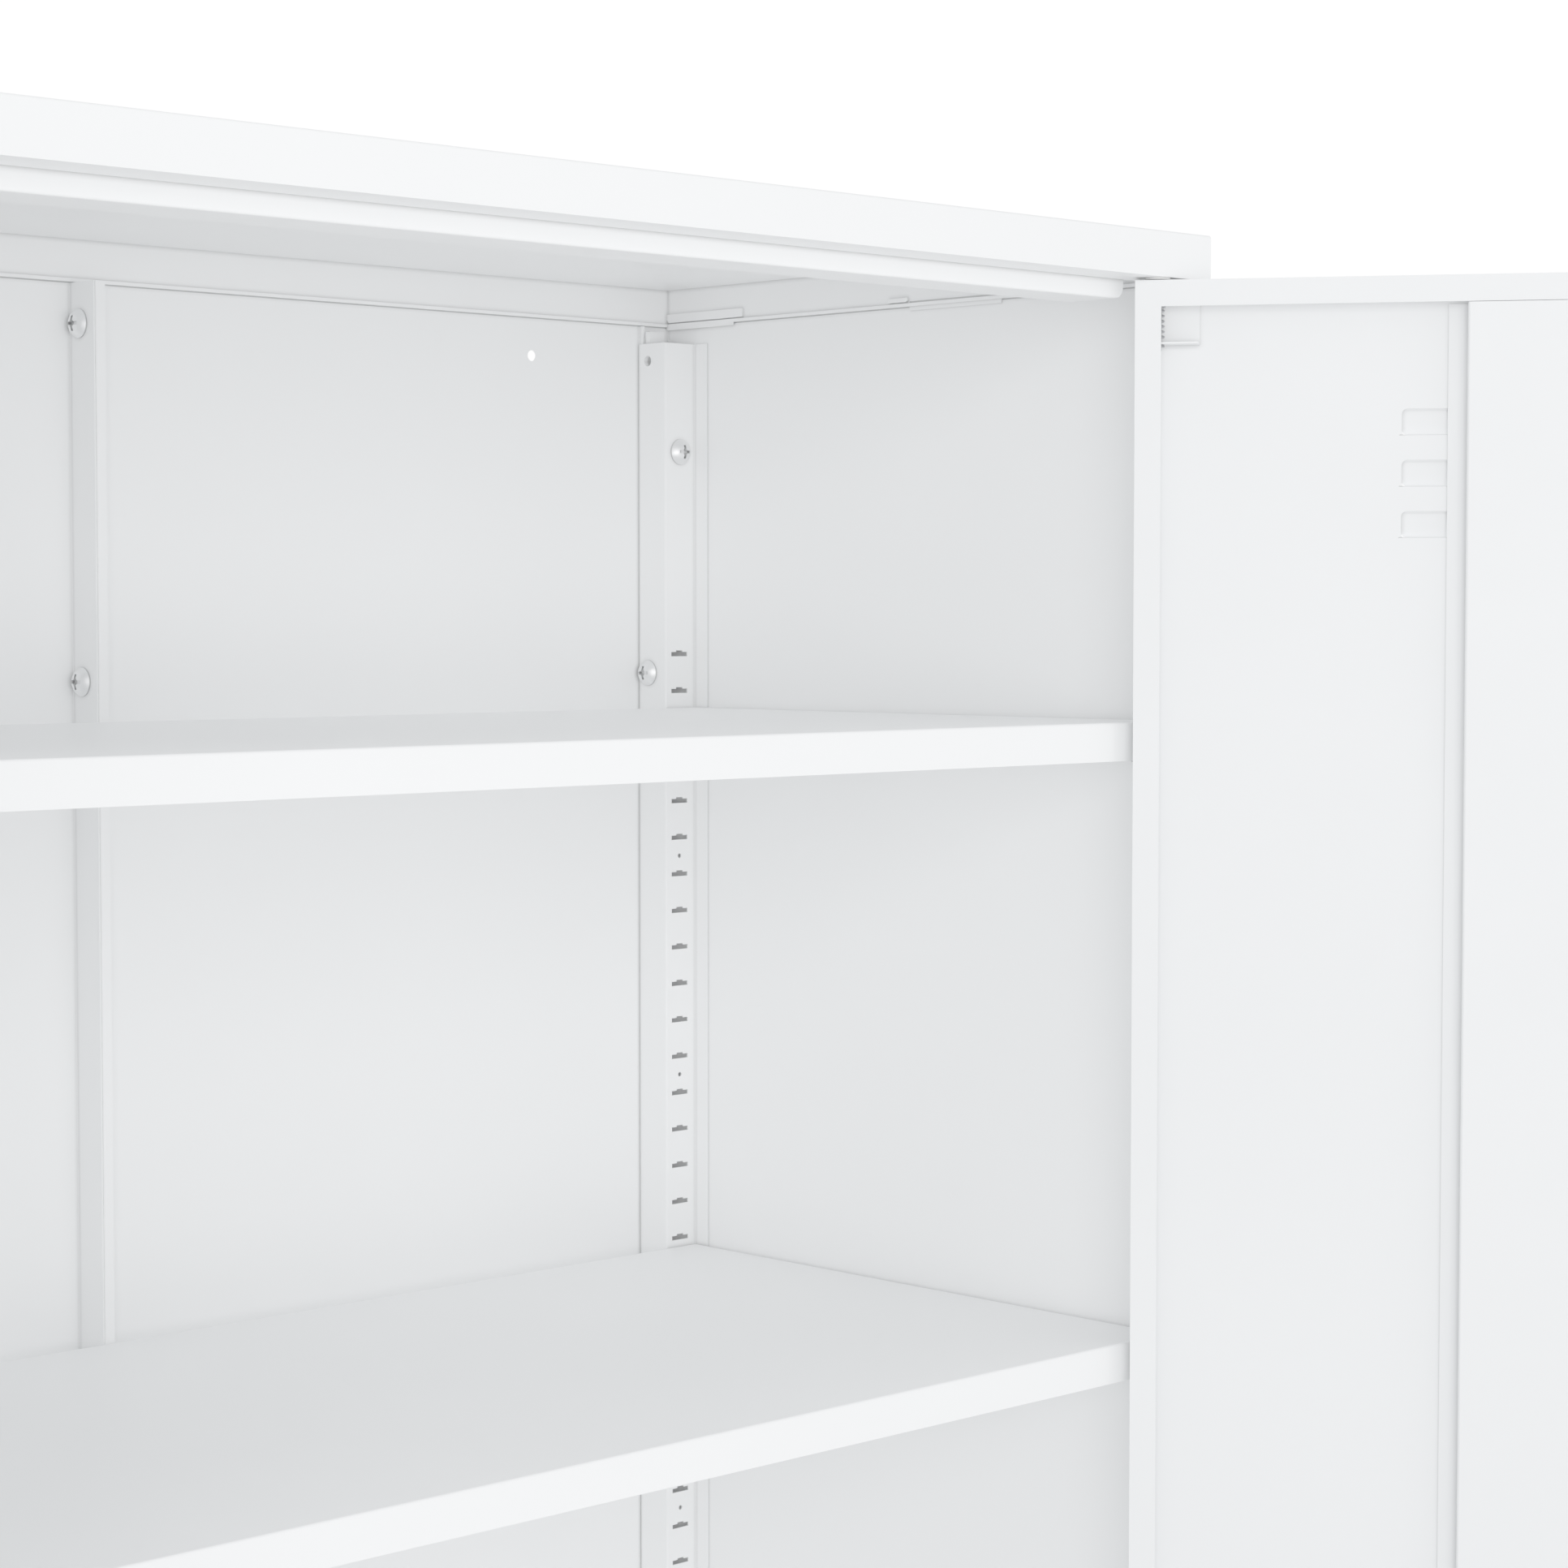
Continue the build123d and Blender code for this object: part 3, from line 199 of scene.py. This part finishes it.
# ---- hinge pin springs, drawn as wound wire and carried by the doors; on the real hinges they shorten as the pins are drawn down ----
WIRE = 0.0007  # radius of the wire
COIL = 0.00325  # radius of the coil, to the wire's middle
COIL_RISE = 0.0029  # per turn
ROUND = 12  # points around the wire
PER_TURN = 36  # points along one turn


def spring(name, low, high):
    """A wound wire between two corners of its box."""
    centre = (low + high) / 2
    tall = high.z - low.z - 2 * WIRE
    steps = int(tall / COIL_RISE * PER_TURN)
    verts = []
    for i in range(steps + 1):
        rise = i / steps
        angle = 2 * math.pi * i / PER_TURN
        for k in range(ROUND):
            around = 2 * math.pi * k / ROUND
            reach = COIL + WIRE * math.cos(around)
            verts.append((centre.x + reach * math.cos(angle), centre.y + reach * math.sin(angle),
                          low.z + WIRE + tall * rise + WIRE * math.sin(around)))
    faces = [tuple(range(ROUND)), tuple(steps * ROUND + k for k in reversed(range(ROUND)))]
    for i in range(steps):
        for k in range(ROUND):
            here = i * ROUND + k
            beside = i * ROUND + (k + 1) % ROUND
            faces.append((here, here + ROUND, beside + ROUND, beside))
    mesh = bpy.data.meshes.new(name)
    mesh.from_pydata(verts, [], faces)
    mesh.polygons.foreach_set("use_smooth", [True] * len(mesh.polygons))
    mesh.materials.append(ZINC)
    obj = bpy.data.objects.new(name, mesh)
    bpy.context.collection.objects.link(obj)
    return obj


for word in ("right", "left"):
    seat, crown = (Vector(corner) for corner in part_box("pin_spring_" + word))
    coil = spring("hinge_coil_" + word, seat, crown)
    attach(coil, "door_" + word)
    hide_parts("pin_spring_" + word)
    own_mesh(coil)


# ---- studio ----
FLOOR_SIZE = 60.0
FLOOR_DROP = 0.0005  # the floor lies this far under the cabinet
FLOOR_NEAR = 2.5  # the floor's glow starts and ends at these distances
FLOOR_FAR = 7.5
FLOOR_GLOW = 1.4


def plane(name, size, location, material):
    """A square sheet facing up."""
    mesh = bpy.data.meshes.new(name)
    half = size / 2
    corners = [(-half, -half, 0), (half, -half, 0), (half, half, 0), (-half, half, 0)]
    mesh.from_pydata(corners, [], [(0, 1, 2, 3)])
    obj = bpy.data.objects.new(name, mesh)
    obj.location = location
    mesh.materials.append(material)
    bpy.context.collection.objects.link(obj)
    return obj


ground, ground_tree, ground_bsdf = shader("studio_floor")
ground_bsdf.inputs["Roughness"].default_value = 0.9
ground_tree.links.new(ramp(ground_tree, noise(ground_tree, 2.0), (0.80, 0.80, 0.80), (0.82, 0.82, 0.82)),
                      ground_bsdf.inputs["Base Color"])
# far from the cabinet the floor glows, so that it runs out into the white backdrop
floor_coords = ground_tree.nodes.new("ShaderNodeTexCoord")
floor_reach = ground_tree.nodes.new("ShaderNodeVectorMath")
floor_reach.operation = "LENGTH"
ground_tree.links.new(floor_coords.outputs["Object"], floor_reach.inputs[0])
floor_span = ground_tree.nodes.new("ShaderNodeMapRange")
floor_span.inputs["From Min"].default_value = FLOOR_NEAR
floor_span.inputs["From Max"].default_value = FLOOR_FAR
floor_span.interpolation_type = "SMOOTHSTEP"
ground_tree.links.new(floor_reach.outputs["Value"], floor_span.inputs["Value"])
ground_bsdf.inputs["Emission Strength"].default_value = FLOOR_GLOW
ground_tree.links.new(ramp(ground_tree, floor_span.outputs["Result"], 0.0, 1.0, 0.0, 1.0),
                      ground_bsdf.inputs["Emission Color"])
plane("floor", FLOOR_SIZE, (0, 0, -FLOOR_DROP), ground)

world = bpy.data.worlds.new("studio")
bpy.context.scene.world = world
world.use_nodes = True
sky_tree = world.node_tree
sky = sky_tree.nodes["Background"]
sky.inputs["Color"].default_value = (1.0, 1.0, 1.0, 1)
sky.inputs["Strength"].default_value = BACKDROP * 2 ** -EXPOSURE
ambient = sky_tree.nodes.new("ShaderNodeBackground")
ambient.inputs["Color"].default_value = (0.955, 0.98, 1.0, 1)
ambient.inputs["Strength"].default_value = AMBIENT
rays = sky_tree.nodes.new("ShaderNodeLightPath")
pick = sky_tree.nodes.new("ShaderNodeMixShader")
sky_tree.links.new(rays.outputs["Is Camera Ray"], pick.inputs["Fac"])
sky_tree.links.new(ambient.outputs["Background"], pick.inputs[1])
sky_tree.links.new(sky.outputs["Background"], pick.inputs[2])
sky_tree.links.new(pick.outputs["Shader"], sky_tree.nodes["World Output"].inputs["Surface"])


def softbox(name, location, target, size, power):
    """A square area light, in metres and watts, that the camera doesn't see."""
    data = bpy.data.lights.new(name, "AREA")
    data.shape = "SQUARE"
    data.size = size
    data.energy = power
    obj = bpy.data.objects.new(name, data)
    obj.location = location
    obj.visible_camera = False
    obj.rotation_mode = "QUATERNION"
    obj.rotation_quaternion = (Vector(target) - Vector(location)).to_track_quat("-Z", "Y")
    bpy.context.collection.objects.link(obj)
    return obj


OPENING = (0.1, 0.2, 1.4)  # upper middle of the compartments
softbox("key", (-3.2, -3.8, 1.9), OPENING, size=2.6, power=140)
softbox("fill", (0.6, -5.0, 2.2), OPENING, size=3.2, power=46)
softbox("overhead", (0.0, 0.2, 6.0), (0.0, 0.2, 0.0), size=6.0, power=45)
softbox("back", (2.8, 5.2, 2.2), (0.0, 0.3, 1.0), size=3.2, power=190)

scene = bpy.context.scene
scene.view_settings.view_transform = "Standard"
scene.view_settings.look = "None"
scene.view_settings.exposure = EXPOSURE
scene.view_settings.gamma = GAMMA

# ---- camera, left of the opening and looking into its top right corner ----
EYE = (-1.0970, FRONT - 1.2550, TOP - 0.2132)
YAW = 44.1235
PITCH = -2.7938
LENS = 80.07
camera_data = bpy.data.cameras.new("camera")
camera_data.sensor_width = 36.0
camera_data.lens = LENS
camera_data.clip_start = 0.02
camera_data.clip_end = 100.0
camera = bpy.data.objects.new("camera", camera_data)
camera.location = EYE
camera.rotation_euler = (math.radians(90 + PITCH), 0, math.radians(-YAW))
bpy.context.collection.objects.link(camera)
scene.camera = camera
